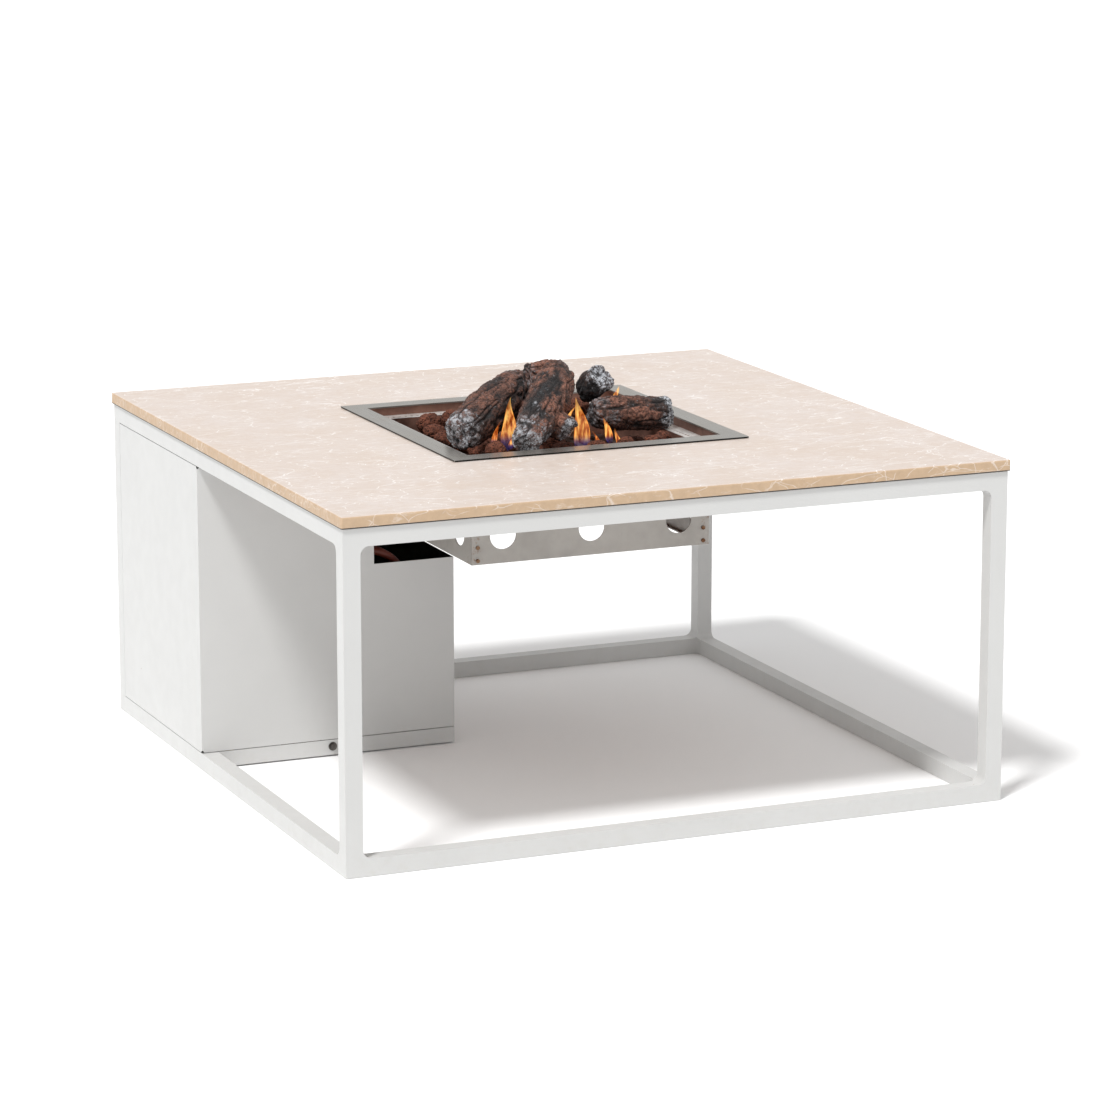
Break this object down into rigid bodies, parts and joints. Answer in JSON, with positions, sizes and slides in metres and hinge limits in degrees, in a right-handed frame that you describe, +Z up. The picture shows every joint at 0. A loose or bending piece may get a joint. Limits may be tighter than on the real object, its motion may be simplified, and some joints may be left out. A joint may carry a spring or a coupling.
{
  "type": "fire pit table",
  "caption": "Square gas fire table: stone top on an open white tube frame, drop-in burner with lava rocks and logs, and a gas cabinet with a door.",
  "frame": {"origin": "on the floor under the centre of the square top", "axes": "+Z up, +X along the long open front, -Y towards the open front, cabinet at -X +Y"},
  "size_m": [1, 1, 0.5935],
  "materials": {
    "white_frame": "fine matt powder coat",
    "white_panel": "fine matt powder coat",
    "stone": "honed, fine pale veins",
    "black_plastic": "moulded, satin",
    "red_plastic": "moulded, satin",
    "black_rubber": "matt",
    "orange_hose": "extruded, satin",
    "brushed_trim": "brushed",
    "heated_steel": "heat tinted",
    "burnt_steel": "blackened by heat",
    "grey_sheet": "grey coated sheet",
    "steel_fitting": "zinc plated",
    "rusty_screw": "surface rust",
    "brass": "machined",
    "copper_lead": "drawn",
    "cast_alloy": "die cast",
    "ceramic": "glazed",
    "lava": "porous",
    "charred_log": "moulded ceramic, charred bark"
  },
  "bodies": {
    "table": {"leg_front_left": "white_frame", "leg_front_right": "white_frame", "leg_back_left": "white_frame", "leg_back_right": "white_frame", "base_rail_front": "white_frame", "base_rail_back": "white_frame", "base_rail_left": "white_frame", "base_rail_right": "white_frame", "top_rail_front": "white_frame", "top_rail_back": "white_frame", "top_rail_left": "white_frame", "top_rail_right": "white_frame", "crossbar_front": "white_frame", "crossbar_back": "white_frame", "corner_welds": "white_frame", "foot_plugs": "black_plastic", "rubber_strips": "black_rubber", "stone_top": "stone", "trim_gasket": "black_rubber", "trim_surround": "brushed_trim", "burner_tray": "heated_steel", "rock_grate": "burnt_steel", "burner_ring": "heated_steel", "mixing_tube": "heated_steel", "gas_jet": "brass", "flame_sensor": "brass", "spark_electrode": "ceramic", "lava_rocks": "lava", "log_left": "charred_log", "log_forked": "charred_log", "log_stub": "charred_log", "log_right": "charred_log", "housing_front": "grey_sheet", "housing_back": "grey_sheet", "housing_left": "grey_sheet", "housing_right": "grey_sheet", "housing_screws": "rusty_screw", "control_plate": "brushed_trim", "gas_valve": "brass", "igniter_body": "black_plastic", "feed_pipe": "brass", "sensor_lead": "copper_lead", "igniter_lead": "black_rubber", "cabinet_hood": "white_panel", "cabinet_tray": "white_panel", "tray_screws": "steel_fitting", "hinge_leaves_fixed": "steel_fitting", "hinge_pins": "steel_fitting", "door_magnet": "black_plastic", "hose_supports": "black_rubber", "gas_hose_tubes": "orange_hose", "gas_hose_coil": "orange_hose", "gas_regulator": "cast_alloy"},
    "cabinet_door": {"cabinet_door": "white_panel", "hinge_leaves_door": "steel_fitting"},
    "knob_plunger": {"valve_plunger": "steel_fitting"},
    "gas_knob": {"valve_spindle": "steel_fitting", "control_knob": "black_plastic"},
    "igniter_button": {"igniter_button": "red_plastic"},
    "regulator_nut": {"regulator_nut": "brass"}
  },
  "joints": [
    {"name": "door_swing", "type": "hinge", "parent": "table", "child": "cabinet_door", "pos_m": [-0.4675, 0.4938, 0.2], "axis": [0, 0, 1], "range_deg": [0, 105]},
    {"name": "knob_press", "type": "slide", "parent": "table", "child": "knob_plunger", "axis": [-1, 0, 0], "range_m": [0, 0.004], "stiffness_N_per_m": 900},
    {"name": "knob_turn", "type": "hinge", "parent": "knob_plunger", "child": "gas_knob", "pos_m": [0.188, 0.1, 0.368], "axis": [1, 0, 0], "range_deg": [0, 210]},
    {"name": "igniter_press", "type": "slide", "parent": "table", "child": "igniter_button", "axis": [-1, 0, 0], "range_m": [0, 0.004], "stiffness_N_per_m": 1200},
    {"name": "nut_turn", "type": "hinge", "parent": "table", "child": "regulator_nut", "pos_m": [-0.447, 0.136, 0.018], "axis": [1, 0, 0], "continuous": true}
  ]
}
